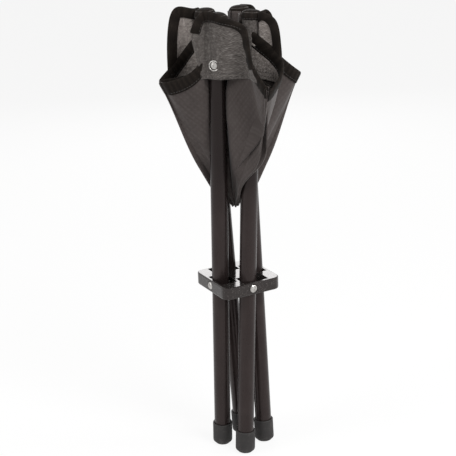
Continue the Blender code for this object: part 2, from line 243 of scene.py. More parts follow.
def finish_nodes(name):
    """A new material with its node tree and its surface shader."""
    material = bpy.data.materials.new(name)
    material.use_nodes = True
    tree = material.node_tree
    return material, tree, tree.nodes["Principled BSDF"]


def node(tree, kind, **values):
    """Adds a node, with its settings by name and its sockets by their labels."""
    made = tree.nodes.new(kind)
    for key, value in values.items():
        if hasattr(made, key):
            setattr(made, key, value)
        else:
            made.inputs[key.replace("_", " ")].default_value = value
    return made


def even_all_over(shader, **sockets):
    """Sets numbers and colours that are the same all over a surface, by the sockets' labels."""
    for label, value in sockets.items():
        shader.inputs[label.replace("_", " ")].default_value = value


def noise_from(tree, coordinate, scale, detail=3.0, roughness=0.55, stretch=(1, 1, 1)):
    """A noise pattern on a coordinate, drawn out along one direction where stretch says so."""
    mapping = node(tree, "ShaderNodeMapping", Scale=stretch)
    pattern = node(tree, "ShaderNodeTexNoise", Scale=scale, Detail=detail, Roughness=roughness)
    tree.links.new(coordinate, mapping.inputs["Vector"])
    tree.links.new(mapping.outputs["Vector"], pattern.inputs["Vector"])
    return pattern.outputs["Fac"]


def bands(tree, place, phase_per_metre, distortion, detail):
    """Parallel waves across the first direction of a place: threads or ribs."""
    made = node(tree, "ShaderNodeTexWave", wave_type="BANDS", bands_direction="X", wave_profile="SIN",
                Scale=phase_per_metre / PHASE_AT_SCALE_ONE, Distortion=distortion, Detail=detail)
    tree.links.new(place, made.inputs["Vector"])
    return made


def ramp(tree, value, stops):
    """A colour ramp over a value: stops are (position, colour)."""
    made = tree.nodes.new("ShaderNodeValToRGB")
    elements = made.color_ramp.elements
    while len(elements) < len(stops):
        elements.new(0.5)
    for element, (position, colour) in zip(elements, stops):
        element.position = position
        element.color = (*colour, 1.0)
    tree.links.new(value, made.inputs["Fac"])
    return made.outputs["Color"]


def paint(tree, shader, value, stops):
    """Colours a surface by a ramp over a value."""
    tree.links.new(ramp(tree, value, stops), shader.inputs["Base Color"])


def map_range(tree, value, from_low, from_high, to_low=0.0, to_high=1.0):
    """Maps a value from one range to another, and holds it at the ends."""
    made = node(tree, "ShaderNodeMapRange", From_Min=from_low, From_Max=from_high, To_Min=to_low,
                To_Max=to_high)
    tree.links.new(value, made.inputs["Value"])
    return made.outputs["Result"]


def roughen(tree, shader, pattern, low, high):
    """Lets the roughness go from low to high while a pattern goes from 0.3 to 0.7."""
    tree.links.new(map_range(tree, pattern, 0.3, 0.7, low, high), shader.inputs["Roughness"])


def combine(tree, operation, first, second):
    """A math node on two patterns or numbers."""
    made = node(tree, "ShaderNodeMath", operation=operation)
    for socket, value in zip(made.inputs, (first, second)):
        if isinstance(value, (int, float)):
            socket.default_value = value
        else:
            tree.links.new(value, socket)
    return made.outputs["Value"]


def mixed(tree, *shares):
    """The sum of patterns, each times its share."""
    parts = [combine(tree, "MULTIPLY", pattern, share) for pattern, share in shares]
    total = parts[0]
    for part in parts[1:]:
        total = combine(tree, "ADD", total, part)
    return total


def raise_bump(tree, shader, height, depth, strength=1.0):
    """Lets a pattern stand out of the surface by depth metres."""
    bump = node(tree, "ShaderNodeBump", Strength=strength, Distance=depth)
    tree.links.new(height, bump.inputs["Height"])
    tree.links.new(bump.outputs["Normal"], shader.inputs["Normal"])


def object_place(tree):
    return node(tree, "ShaderNodeTexCoord").outputs["Object"]


def flat_place(tree):
    return node(tree, "ShaderNodeTexCoord").outputs["UV"]


def height_in(tree, place):
    split = node(tree, "ShaderNodeSeparateXYZ")
    tree.links.new(place, split.inputs["Vector"])
    return split.outputs["Z"]


def satin_tube_paint():
    """Dark brown-black powder paint with a soft orange peel and a little dust, and painted shade up in the
    seat.
    """
    material, tree, shader = finish_nodes("satin_tube_paint")
    place = object_place(tree)
    mottle = noise_from(tree, place, 34.0, 4.0)
    streak = noise_from(tree, place, 160.0, 3.0, stretch=(1.0, 1.0, 0.08))
    both = mixed(tree, (mottle, 0.6), (streak, 0.4))
    tone = ramp(tree, both, [(0.30, (0.0135, 0.0096, 0.0092)), (0.52, (0.0190, 0.0138, 0.0132)),
                             (0.72, (0.0280, 0.0215, 0.0205))])
    # Painted shade: the paint gets darker with height up between the seat's cloth, which shades the tubes
    # there.
    painted_shade = map_range(tree, height_in(tree, place), PAINTED_SHADE_FROM, PAINTED_SHADE_TO, 1.0, PAINTED_SHADE_LEFT)
    shaded_paint = node(tree, "ShaderNodeVectorMath", operation="SCALE")
    tree.links.new(tone, shaded_paint.inputs[0])
    tree.links.new(painted_shade, shaded_paint.inputs["Scale"])
    tree.links.new(shaded_paint.outputs["Vector"], shader.inputs["Base Color"])
    roughen(tree, shader, both, 0.22, 0.34)
    even_all_over(shader, Specular_IOR_Level=0.27, Specular_Tint=(1.0, 0.84, 0.82, 1.0), Coat_Weight=0.04,
                  Coat_Roughness=0.12)
    raise_bump(tree, shader, noise_from(tree, place, 900.0, 2.0), 0.00006, 0.7)
    return material


def glossy_hub_plastic():
    """Moulded black plastic, glossy, with a fine spark texture and dust in it."""
    material, tree, shader = finish_nodes("glossy_hub_plastic")
    place = object_place(tree)
    cloud = noise_from(tree, place, 60.0, 3.0)
    speck = noise_from(tree, place, 620.0, 1.0)
    paint(tree, shader, speck, [(0.40, (0.0105, 0.0090, 0.0086)), (0.62, (0.0165, 0.0142, 0.0135)),
                                (0.70, (0.060, 0.056, 0.053))])
    roughen(tree, shader, cloud, 0.10, 0.20)
    even_all_over(shader, Specular_IOR_Level=0.34, Specular_Tint=(1.0, 0.86, 0.84, 1.0), Coat_Weight=0.22,
                  Coat_Roughness=0.06)
    raise_bump(tree, shader, noise_from(tree, place, 1400.0, 2.0, 0.7), 0.00005, 0.6)
    return material


def pressed_rivet_steel():
    """Bright steel of the rivet heads, lightly brushed and spotted."""
    material, tree, shader = finish_nodes("pressed_rivet_steel")
    place = object_place(tree)
    brushed = noise_from(tree, place, 700.0, 3.0, stretch=(1.0, 1.0, 0.2))
    spots = noise_from(tree, place, 260.0, 3.0)
    paint(tree, shader, spots, [(0.32, (0.29, 0.275, 0.26)), (0.55, (0.50, 0.485, 0.465)),
                                (0.75, (0.60, 0.59, 0.57))])
    roughen(tree, shader, spots, 0.24, 0.40)
    even_all_over(shader, Metallic=1.0)
    raise_bump(tree, shader, brushed, 0.00003, 0.5)
    return material


def matte_foot_rubber():
    """Moulded rubber: matte, a little worn and dusty towards the sole."""
    material, tree, shader = finish_nodes("matte_foot_rubber")
    place = object_place(tree)
    dust = noise_from(tree, place, 130.0, 4.0, 0.65)
    low = map_range(tree, height_in(tree, place), DUSTY_SOLE, 0.0)
    worn = combine(tree, "ADD", dust, combine(tree, "MULTIPLY", low, 0.16))
    paint(tree, shader, worn, [(0.34, (0.0150, 0.0135, 0.0132)), (0.58, (0.0245, 0.0222, 0.0218)),
                               (0.82, (0.062, 0.058, 0.055))])
    roughen(tree, shader, dust, 0.60, 0.78)
    even_all_over(shader, Specular_IOR_Level=0.40)
    raise_bump(tree, shader, noise_from(tree, place, 1100.0, 2.0, 0.7), 0.00010, 0.8)
    return material


def plain_plug_plastic():
    """Dull moulded plastic of the plugs in the tube ends."""
    material, tree, shader = finish_nodes("plain_plug_plastic")
    place = object_place(tree)
    cloud = noise_from(tree, place, 210.0, 3.0)
    paint(tree, shader, cloud, [(0.35, (0.012, 0.012, 0.012)), (0.65, (0.022, 0.021, 0.020))])
    roughen(tree, shader, cloud, 0.42, 0.55)
    raise_bump(tree, shader, noise_from(tree, place, 1500.0, 2.0), 0.00005, 0.6)
    return material


def plain_weave(tree, place, phase_per_metre):
    """Two patterns of a plain weave: where its threads cross, and how high they stand."""
    threads = []
    for turn in (0.0, math.pi / 2):
        mapping = node(tree, "ShaderNodeMapping", Rotation=(0, 0, turn))
        tree.links.new(place, mapping.inputs["Vector"])
        wave = bands(tree, mapping.outputs["Vector"], phase_per_metre, 1.2, 2.0)
        wave.inputs["Detail Scale"].default_value = 0.8
        threads.append(wave.outputs["Fac"])
    return combine(tree, "MULTIPLY", *threads), combine(tree, "MAXIMUM", *threads)


def woven_seat_cloth():
    """Dark grey-brown woven polyester of the seat."""
    material, tree, shader = finish_nodes("woven_seat_cloth")
    place = flat_place(tree)
    crossing, ridge = plain_weave(tree, place, SEAT_WEAVE_PHASE)
    fade = noise_from(tree, place, 18.0, 4.0)
    slub = noise_from(tree, place, 420.0, 2.0, stretch=(1.0, 0.12, 1.0))
    woven = mixed(tree, (fade, 0.62), (slub, 0.38), (crossing, 0.10))
    paint(tree, shader, woven, [(0.30, (0.0370, 0.0292, 0.0272)), (0.52, (0.0545, 0.0448, 0.0420)),
                                (0.78, (0.0790, 0.0670, 0.0640))])
    even_all_over(shader, Roughness=0.82, Specular_IOR_Level=0.20, Sheen_Weight=0.18, Sheen_Roughness=0.45)
    raise_bump(tree, shader, ridge, 0.00012, 0.7)
    return material


def heathered_patch_cloth(name, lightness):
    """Grey heathered cloth of the corner patches and pockets: light and dark yarns, made lighter or darker
    by lightness.
    """
    material, tree, shader = finish_nodes(name)
    place = flat_place(tree)
    warp = noise_from(tree, place, 1500.0, 2.0, 0.6, stretch=(1.0, 0.22, 1.0))
    weft = noise_from(tree, place, 1500.0, 2.0, 0.6, stretch=(0.22, 1.0, 1.0))
    cloud = noise_from(tree, place, 160.0, 3.0)
    yarn = mixed(tree, (warp, 0.42), (weft, 0.42), (cloud, 0.16))
    yarns = [(0.36, (0.034, 0.029, 0.025)), (0.46, (0.094, 0.082, 0.075)),
             (0.55, (0.160, 0.143, 0.133)), (0.66, (0.330, 0.305, 0.288))]
    paint(tree, shader, yarn, [(stop, tuple(lightness * part for part in colour)) for stop, colour in yarns])
    even_all_over(shader, Roughness=0.88, Specular_IOR_Level=0.22, Sheen_Weight=0.14, Sheen_Roughness=0.5)
    ridge = plain_weave(tree, place, PATCH_WEAVE_PHASE)[1]
    raise_bump(tree, shader, combine(tree, "ADD", ridge, yarn), 0.00016, 0.8)
    return material


def ribbed_binding_tape():
    """Black ribbed tape that binds the seat's edge."""
    material, tree, shader = finish_nodes("ribbed_binding_tape")
    place = flat_place(tree)
    ribs = bands(tree, place, TAPE_RIB_PHASE, 0.6, 1.0).outputs["Fac"]
    fuzz = noise_from(tree, place, 700.0, 3.0, 0.6)
    paint(tree, shader, mixed(tree, (ribs, 0.25), (fuzz, 0.75)),
          [(0.30, (0.0056, 0.0040, 0.0030)), (0.55, (0.0095, 0.0068, 0.0052)),
           (0.80, (0.0190, 0.0145, 0.0118))])
    even_all_over(shader, Roughness=0.85, Specular_IOR_Level=0.12, Sheen_Weight=0.02)
    raise_bump(tree, shader, ribs, 0.00016, 0.7)
    return material


def twisted_thread():
    """Dark grey sewing thread, with the twist of its plies."""
    material, tree, shader = finish_nodes("twisted_thread")
    twist = noise_from(tree, object_place(tree), 2400.0, 2.0)
    paint(tree, shader, twist, [(0.35, (0.020, 0.018, 0.017)), (0.65, (0.050, 0.046, 0.043))])
    even_all_over(shader, Roughness=0.62)
    raise_bump(tree, shader, twist, 0.00006, 0.6)
    return material


TUBE_PAINT = satin_tube_paint()
HUB_PLASTIC = glossy_hub_plastic()
RIVET_STEEL = pressed_rivet_steel()
FOOT_RUBBER = matte_foot_rubber()
PLUG_PLASTIC = plain_plug_plastic()
SEAT_CLOTH = woven_seat_cloth()
# The same grey cloth at two lightnesses: the lighter copy is painted light on the patches away from the
# left leg.
PATCH_CLOTH = heathered_patch_cloth("heathered_patch_cloth", 0.66)
PAINTED_LIGHT_PATCH_CLOTH = heathered_patch_cloth("faded_patch_cloth", 1.75)
BINDING_TAPE = ribbed_binding_tape()
THREAD = twisted_thread()

NODE_FINISHES = {
    "leg_tube_": TUBE_PAINT,
    "hub_body": HUB_PLASTIC,
    "pivot_rivet_": RIVET_STEEL,
    "pocket_rivet_": RIVET_STEEL,
    "foot_cap_": FOOT_RUBBER,
    "end_plug_": PLUG_PLASTIC,
    "seat_pocket_": PATCH_CLOTH,
    "seat_wing_": SEAT_CLOTH,
    "seat_tuck_": SEAT_CLOTH,
}
for node_name, solid in frame["nodes"].items():
    for start, finish in NODE_FINISHES.items():
        if node_name.startswith(start):
            solid.data.materials.clear()
            solid.data.materials.append(finish)


# Folded seat: the planes of its facets, from the joints of the frame


def joint_point(name):
    return Vector(JOINTS[name]["pos_m"])


def seat_bottom():
    """The lowest point of the folded seat, where the folds meet on the stool's axis."""
    tip = joint_point("left_a_tuck_fold")
    along = Vector(JOINTS["left_a_tuck_fold"]["axis"])
    return tip + along * (-(tip.x * along.x + tip.y * along.y) / (along.x ** 2 + along.y ** 2))


BOTTOM = seat_bottom()
CORNER_TO_BOTTOM = (joint_point("left_a_wing_fold") - BOTTOM).length
HALF_EDGE = CORNER_TO_BOTTOM / math.sqrt(2)


def tuck_point(first_tip, second_tip, first_reach, second_reach):
    """The middle of a seat edge, tucked in between two fold tips, on the side of the stool's axis."""
    across = (second_tip - first_tip).normalized()
    down = BOTTOM - first_tip
    down = down - across * down.dot(across)
    down.normalize()
    out = across.cross(down)
    span = (second_tip - first_tip).length
    first_edge = HALF_EDGE - first_reach
    second_edge = HALF_EDGE - second_reach
    x = (first_edge ** 2 - second_edge ** 2 + span ** 2) / (2 * span)
    bottom_x = (BOTTOM - first_tip).dot(across)
    bottom_y = (BOTTOM - first_tip).dot(down)
    to_bottom = bottom_x ** 2 + bottom_y ** 2
    y = (first_edge ** 2 - HALF_EDGE ** 2 + to_bottom - 2 * bottom_x * x) / (2 * bottom_y)
    z = math.sqrt(max(0.0, first_edge ** 2 - x ** 2 - y ** 2))
    base = first_tip + across * x + down * y
    return min((base + out * z, base - out * z), key=lambda point: math.hypot(point.x, point.y))


class Facet:
    """One flat piece of the folded seat.

    h runs from its upper point along its first fold to the seat's bottom, s across it, and lift stands out
    of it towards the seat's underside.
    """

    def __init__(self, name, leg, side, start, end, underside):
        self.name = name
        self.leg = leg
        self.side = side
        self.start = start
        self.down = (BOTTOM - start).normalized()
        self.depth = (BOTTOM - start).length
        reach = end - start
        self.end_h = reach.dot(self.down)
        across = reach - self.down * self.end_h
        self.end_s = across.length
        self.across = across.normalized()
        self.lift = self.down.cross(self.across)
        if self.lift.dot(underside) < 0:
            self.lift = -self.lift
        self.edge = reach.length
        self.edge_h = self.end_h / self.edge
        self.edge_s = self.end_s / self.edge
        self.swing = None

    def flat_point(self, h, s):
        return self.start + self.down * h + self.across * s

    def lift_at(self, h, s):
        return 0.0

    def point(self, h, s, proud=0.0):
        """A place on the draped cloth, or proud of it towards the underside."""
        place = self.flat_point(h, s) + self.lift * self.lift_at(h, s)
        if proud:
            place = place + self.normal(h, s) * proud
        return place

    def normal(self, h, s):
        step = 0.0008
        rise_h = (self.lift_at(h + step, s) - self.lift_at(h - step, s)) / (2 * step)
        rise_s = (self.lift_at(h, s + step) - self.lift_at(h, s - step)) / (2 * step)
        return (self.lift - self.down * rise_h - self.across * rise_s).normalized()

    def sag_at(self, s):
        """How far the seat's edge sags below the straight line between its corner and its fold."""
        return 0.0

    def inwards(self, along, inset):
        """Flat place at a distance along the seat's edge and an inset from it."""
        s = self.edge_s * along - self.edge_h * inset
        return self.edge_h * along + self.edge_s * inset + self.sag_at(s), s

    def wrinkle(self, h, s, seed):
        """Slack of the cloth: soft folds that fan out from the seat's bottom, and small creases."""
        from_bottom = self.depth - h
        fan = math.atan2(s, max(from_bottom, 1e-4))
        folds = math.sin(fan * FOLDS_IN_FAN + seed * 2.1 + 5.0 * from_bottom) * FOLD_HEIGHT
        creases = noise.noise(Vector((h * CREASES_DOWN, s * CREASES_ACROSS, seed * 7.3))) * CREASE_HEIGHT
        return (folds + creases) * smooth(from_bottom / SLACK_REACH)


class Wing(Facet):
    """The facet beside a leg: it passes behind the leg's tube, and hangs from the seat's corner."""

    def __init__(self, name, leg, side, start, end, underside):
        super().__init__(name, leg, side, start, end, underside)
        pivot = joint_point(leg + "_leg_fold")
        leg_down = (pivot - start).normalized()
        tube_h = leg_down.dot(self.down)
        self.tube_s = leg_down.dot(self.across) / tube_h
        self.tube_lift = leg_down.dot(self.lift) / tube_h
        self.seed = LEGS.index(leg) * 2 + (side == "b")
        self.puff = WING_PUFF
        self.nose = 0.5 * abs(underside.dot(self.lift))
        self.sag = EDGE_SAGS.get(name, EDGE_SAG)

    def sag_at(self, s):
        return self.sag * math.sin(math.pi * within(s / self.end_s) ** 0.75)

    def behind_tube(self, h, s):
        """How far the cloth dips to pass behind the tube."""
        clear = POCKET_RADIUS + POCKET_CLEARANCE
        below = (h - POCKET_LENGTH - POCKET_STEP_BELOW) / POCKET_STEP_LENGTH
        clear += (TUBE_RADIUS - POCKET_RADIUS) * smooth(below)
        dip = max(0.0, clear - self.tube_lift * max(h, 0.0)) * DIP_EXCESS
        return dip * smooth(1 - (s - self.tube_s * h) / (DIP_WIDTH * clear))

    def crest_at(self, h):
        """How far the crest fold lies from the crease, at a depth below the corner."""
        return self.end_s * (self.depth - h) / (self.depth - self.end_h)

    def lip_at(self, h):
        """How far the cloth reaches past the crest fold, where it rounds the nose of the flap."""
        level = within((h - self.end_h) / (self.depth - self.end_h))
        wide = smooth(level / 0.62) * (1 - smooth((level - 0.80) / 0.20))
        return LIP_AT_TIP + (LIP_BELOW - LIP_AT_TIP) * wide

    def lift_at(self, h, s):
        crest = self.crest_at(h)
        share = within(s / max(crest, 1e-4))
        window = math.sin(math.pi * share) ** 0.8 if 0 < share < 1 else 0.0
        lift = -self.behind_tube(h, s)
        lift += self.puff * window * (1.0 - PUFF_LOST_BELOW * within(h / self.depth))
        lift += self.wrinkle(h, s, self.seed) * window
        if self.swing:
            lift += self.swing(self.flat_point(h, s))
        past = s - crest + 0.25 * self.lip_at(h)
        if past > 0:
            gap = self.nose * max(0.0, self.depth - h) / (self.depth - self.end_h)
            lift -= min(gap, self.nose) * smooth(past / (1.25 * self.lip_at(h)))
        return lift


class Shield(Facet):
    """Half of the corner patch outside a wing: it bridges from the front of the tube to the wing."""

    def __init__(self, wing, bisector):
        self.__dict__.update(wing.__dict__)
        self.wing = wing
        self.ahead = bisector.dot(wing.across)
        self.aside = bisector.dot(wing.lift)
        self.tab_end, self.tab_power = PATCH_TABS.get(wing.name, PLAIN_TAB)
        self.tab_top = TAB_TOPS.get(wing.name, TAB_TOP_AT_TUBE)
        self.tab_start = self.tab_top if wing.leg == "left" else TAB_TOP_AT_TUBE
        self.tab_foot = FREE_TAB_DROP if wing.name == FREE_TAB else self.tab_end + wing.sag_at(self.tab_end)

    def sag_at(self, s):
        return self.wing.sag_at(s)

    def ridge(self, h):
        """Where the two halves meet in front of the tube."""
        return self.wing.tube_s * max(h, 0.0) + SHIELD_RADIUS * self.ahead

    def lift_at(self, h, s):
        tube = max(h, 0.0)
        over = self.wing.tube_lift * tube
        full = SHIELD_RADIUS + self.fullness(h, s)
        over += (full - (s - self.wing.tube_s * tube) * self.ahead) / self.aside
        under = self.wing.lift_at(h, s) + CLOTH_THICKNESS / 2
        if self.wing.swing:
            follow = smooth((s - SWUNG_PATCH_FROM) / SWUNG_PATCH_BLEND)
            over += (under - SWUNG_PATCH_BELOW - over) * follow
        apart = over - under
        return 0.5 * (over + under + math.sqrt(apart * apart + SHIELD_BLEND ** 2))

    def fullness(self, h, s):
        """Slack of the patch: small creases, and the dent round the rivet."""
        crease = noise.noise(Vector((h * 60.0, s * 60.0, self.wing.seed * 3.1))) * PATCH_CREASE
        if self.side == "b":
            return crease
        off = math.hypot(h - RIVET_BELOW_TOP, s - self.wing.tube_s * h - RIVET_ASIDE)
        return crease - RIVET_DENT * math.exp(-((off / RIVET_DENT_RADIUS) ** 2))


class Tuck(Facet):
    """The facet that is tucked in between two wings."""

    def lift_at(self, h, s):
        across = self.end_s * (self.depth - h) / max(self.depth - self.end_h, 1e-4)
        share = within(s / max(across, 1e-4))
        window = math.sin(math.pi * share) if 0 < share < 1 else 0.0
        lift = self.wrinkle(h, s, self.seed) * window * 0.7
        if self.swing:
            lift += self.swing(self.flat_point(h, s))
        return lift


def make_facets():
    """The sixteen facets, by name."""
    facets = {}
    for index, leg in enumerate(LEGS):
        following = LEGS[(index + 1) % 4]
        corners = {}
        tips = {}
        for side, owner in (("a", leg), ("b", following)):
            corners[side] = joint_point(f"{owner}_{side}_wing_fold")
            tips[side] = joint_point(f"{owner}_{side}_tuck_fold")
        tucked = tuck_point(tips["a"], tips["b"], (tips["a"] - corners["a"]).length,
                            (tips["b"] - corners["b"]).length)
        for side, owner, other in (("a", leg, "b"), ("b", following, "a")):
            outside = tips[side] - tips[other]
            wing = Wing(f"wing_{owner}_{side}", owner, side, corners[side], tips[side], outside)
            tuck = Tuck(f"tuck_{owner}_{side}", owner, side, tips[side], tucked, -outside)
            tuck.seed = wing.seed + 11
            facets[wing.name] = wing
            facets[tuck.name] = tuck
    return facets


def make_shields(facets):
    """The halves of the four corner patches, by the names of their wings."""
    shields = {}
    for leg in LEGS:
        pair = [facets[f"wing_{leg}_{side}"] for side in "ab"]
        bisector = (pair[0].across + pair[1].across).normalized()
        for wing in pair:
            shields[wing.name] = Shield(wing, bisector)
    return shields


FACETS = make_facets()
SHIELDS = make_shields(FACETS)


def swing_front_flap():
    """The flap between the left and the front leg leans over the front leg, as in the photograph."""
    members = [FACETS[name] for name in SWING_REACH]
    outwards = members[1].start + members[2].start
    outwards = Vector((outwards.x, outwards.y, 0.0)).normalized()
    sideways = members[2].start - members[1].start

    def swing_of(facet):
        reach = SWING_REACH[facet.name] * (1.0 if facet.lift.dot(sideways) > 0 else -1.0)

        def swing(place):
            along = smooth((place.dot(outwards) - SWING_FROM) / (SWING_TO - SWING_FROM))
            level = smooth((place.z - SWING_LOW) / (SWING_HIGH - SWING_LOW))
            return reach * along * level

        return swing

    for facet in members:
        facet.swing = swing_of(facet)
        facet.puff = SWUNG_PUFFS.get(facet.name, 0.0)
        facet.nose = SWUNG_NOSE


swing_front_flap()


# Cloth pieces


def new_piece(name, points, faces, finish, flat_places, smooth_faces=None):
    """A mesh object at the origin, with its flat pattern as UV map."""
    mesh = bpy.data.meshes.new(name)
    mesh.from_pydata([tuple(point) for point in points], [], faces)
    mesh.materials.append(finish)
    layer = mesh.uv_layers.new(name="flat_pattern")
    for loop in mesh.loops:
        layer.data[loop.index].uv = flat_places[loop.vertex_index]
    mesh.polygons.foreach_set("use_smooth", smooth_faces or [True] * len(mesh.polygons))
    mesh.update()
    piece = bpy.data.objects.new(name, mesh)
    bpy.context.scene.collection.objects.link(piece)
    return piece


def pattern_place(facet, h, s):
    """Place on the seat's flat pattern, with the threads along the seat's sides."""
    if facet.swing:
        s += SWUNG_STRETCH * abs(facet.swing(facet.flat_point(h, s)))
    return (h + s) * DIAGONAL + facet.seed * PATTERN_SHIFT, (h - s) * DIAGONAL


def border_of(rows, columns):
    """The grid points along the border of a grid, in order."""
    border = list(range(columns))
    border += [i * columns + columns - 1 for i in range(1, rows)]
    border += [(rows - 1) * columns + j for j in range(columns - 2, -1, -1)]
    return border + [i * columns for i in range(rows - 2, 0, -1)]


def cloth_slab(name, facet, rows, low, high, finish):
    """A closed slab of cloth over a grid of flat places, between two heights above the draped surface."""
    count = len(rows[0])
    points = []
    places = []
    for height in (high, low):
        for row in rows:
            for h, s in row:
                points.append(facet.point(h, s, height))
                places.append(pattern_place(facet, h, s))
    layer = len(rows) * count
    faces = []
    for i in range(len(rows) - 1):
        for j in range(count - 1):
            a = i * count + j
            quad = (a, a + count, a + count + 1, a + 1)
            faces.append(quad)
            faces.append(tuple(reversed([x + layer for x in quad])))
    border = border_of(len(rows), count)
    rim = [(a, b, b + layer, a + layer) for a, b in zip(border, border[1:] + border[:1])]
    smooth_faces = [True] * len(faces) + [False] * len(rim)
    faces += rim
    corner = rows[0][0]
    beside = rows[0][-1]
    below = rows[-1][0]
    turned = (below[0] - corner[0]) * (beside[1] - corner[1])
    turned -= (below[1] - corner[1]) * (beside[0] - corner[0])
    forward = facet.down.cross(facet.across).dot(facet.lift) > 0
    if (turned > 0) != forward:
        faces = [tuple(reversed(face)) for face in faces]
    return new_piece(name, points, faces, finish, places, smooth_faces)


def hang(piece, facet, *nodes):
    """The piece moves with its facet."""
    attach(piece, facet.name)
    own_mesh(piece)
    if nodes:
        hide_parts(*nodes)


def facet_rows(facet, columns, steps):
    """Grid of flat places over a facet. A wing goes on behind its tube and past its crest."""
    wing = isinstance(facet, Wing)
    rows = []
    for i in range(steps + 1):
        v = BOTTOM_SHARE * (i / steps) ** 1.1
        row = []
        if wing:
            h = facet.depth * v
            strip = BEHIND_TUBE_STRIP * (1 - smooth((h - STRIP_FADES_FROM) / STRIP_FADE))
            row += [(h, -strip * (1 - k / STRIP_COLUMNS)) for k in range(STRIP_COLUMNS)]
        for j in range(columns + 1):
            u = j / columns
            sag = facet.sag_at(facet.end_s * u) * (1 - v) ** 3
            row.append((facet.end_h * u * (1 - v) + facet.depth * v + sag, facet.end_s * u * (1 - v)))
        if wing:
            h, s = row[-1]
            lip = facet.lip_at(h)
            for k in range(1, LIP_COLUMNS + 1):
                row.append((h + lip * CREST_SLOPE * k / LIP_COLUMNS, s + lip * k / LIP_COLUMNS))
        rows.append(row)
    return rows


def sew_facet(facet):
    """The cloth of one facet."""
    rows = facet_rows(facet, WING_COLUMNS if isinstance(facet, Wing) else TUCK_COLUMNS, FACET_STEPS)
    skin = CLOTH_THICKNESS / 2
    piece = cloth_slab("cloth_" + facet.name, facet, rows, -skin, skin, SEAT_CLOTH)
    hang(piece, facet, "seat_" + facet.name)
    return piece


def arch(shield, s):
    """The upper edge of a corner patch: a tab over the tube's end that runs into the seat's edge."""
    first = shield.ridge(0.0)
    share = (s - first) / (shield.tab_end - first)
    if share > 1:
        return s + shield.sag_at(s)
    top = shield.tab_start + (shield.tab_top - shield.tab_start) * smooth(share / 0.7)
    return (shield.tab_foot + top) * max(0.0, share) ** shield.tab_power - top


def arch_place(shield, s, inset):
    """Flat place at an inset from the upper edge of a corner patch."""
    step = 0.0002
    slope = (arch(shield, s) - arch(shield, s - step)) / step
    length = math.hypot(1.0, slope)
    h = arch(shield, s) + inset / length
    return h, max(shield.ridge(h), s - inset * slope / length)


def tape_width(shield, s):
    """The flat inset at which the tape of a corner patch has its full width on the draped cloth."""
    outer = shield.point(*arch_place(shield, s, 0.0))
    width = (shield.point(*arch_place(shield, s, BINDING_WIDTH)) - outer).length
    return BINDING_WIDTH * min(1.0, BINDING_WIDTH / max(width, 1e-6))


def patch_side(shield, h):
    """How far a corner patch reaches across its wing, to the seat's edge or to its own slanting side."""
    if shield.side == "a":
        return WIDE_PATCH_REACH
    down = smooth((h - shield.tab_foot) / (PATCH_HEM - shield.tab_foot))
    return shield.tab_end + (NARROW_PATCH_HEM - shield.tab_end) * down


def patch_finish(facet):
    """The patches away from the left leg take the lighter copy of the grey cloth, with painted light."""
    return PATCH_CLOTH if facet.leg == "left" else PAINTED_LIGHT_PATCH_CLOTH


def sew_shield(shield):
    """Half of a grey corner patch, from the line in front of the tube to the binding."""
    columns = 36
    steps = 30
    first = shield.ridge(0.0)
    last = patch_side(shield, 0.0)
    rows = []
    for i in range(steps + 1):
        row = []
        for j in range(columns + 1):
            share = j / columns
            s = first + (last - first) * share
            top = min(arch(shield, s) + PATCH_UNDER_TAPE, PATCH_HEM - 0.001)
            h = top + (PATCH_HEM - top) * i / steps
            row.append((h, shield.ridge(h) + (patch_side(shield, h) - shield.ridge(h)) * share))
        rows.append(row)
    piece = cloth_slab("patch_" + shield.name, shield, rows, -PATCH_SINK, PATCH_FACE, patch_finish(shield))
    hang(piece, shield)
    return piece


def sew_inner_patch(facet):
    """The grey corner patch on the upper face of a wing."""
    columns = 30
    steps = 24
    rows = []
    for i in range(steps + 1):
        row = []
        for j in range(columns + 1):
            s = INNER_PATCH_START + (INNER_PATCH_REACH - INNER_PATCH_START) * j / columns
            top = min(s + INNER_PATCH_BELOW_EDGE + facet.sag_at(s), PATCH_HEM)
            row.append((top + (PATCH_HEM + INNER_HEM_LOWER - top) * i / steps, s))
        rows.append(row)
    skin = CLOTH_THICKNESS / 2
    piece = cloth_slab("inner_patch_" + facet.name, facet, rows, -skin - PATCH_THICKNESS,
                       -skin + INNER_PATCH_SINK, patch_finish(facet))
    hang(piece, facet)
    return piece


def tape(name, facet, stations):
    """A tape folded over an edge: each station gives the flat places of its section."""
    points = []
    places = []
    size = len(BINDING_SECTION)
    for along, section in stations:
        for (h, s), (inset, proud) in zip(section, BINDING_SECTION):
            points.append(facet.point(h, s, proud * BINDING_THICKNESS))
            places.append((along, inset * BINDING_WIDTH + proud * BINDING_WRAP))
    count = len(stations) - 1
    faces = []
    for i in range(count):
        for k in range(size):
            a = i * size + k
            b = i * size + (k + 1) % size
            faces.append((a, b, b + size, a + size))
    faces.append(tuple(range(size - 1, -1, -1)))
    faces.append(tuple(count * size + k for k in range(size)))
    if facet.lift.dot(facet.down.cross(facet.across)) < 0:
        faces = [tuple(reversed(face)) for face in faces]
    flags = [True] * (len(faces) - 2) + [False] * 2
    piece = new_piece(name, points, faces, BINDING_TAPE, places, flags)
    hang(piece, facet)
    return piece


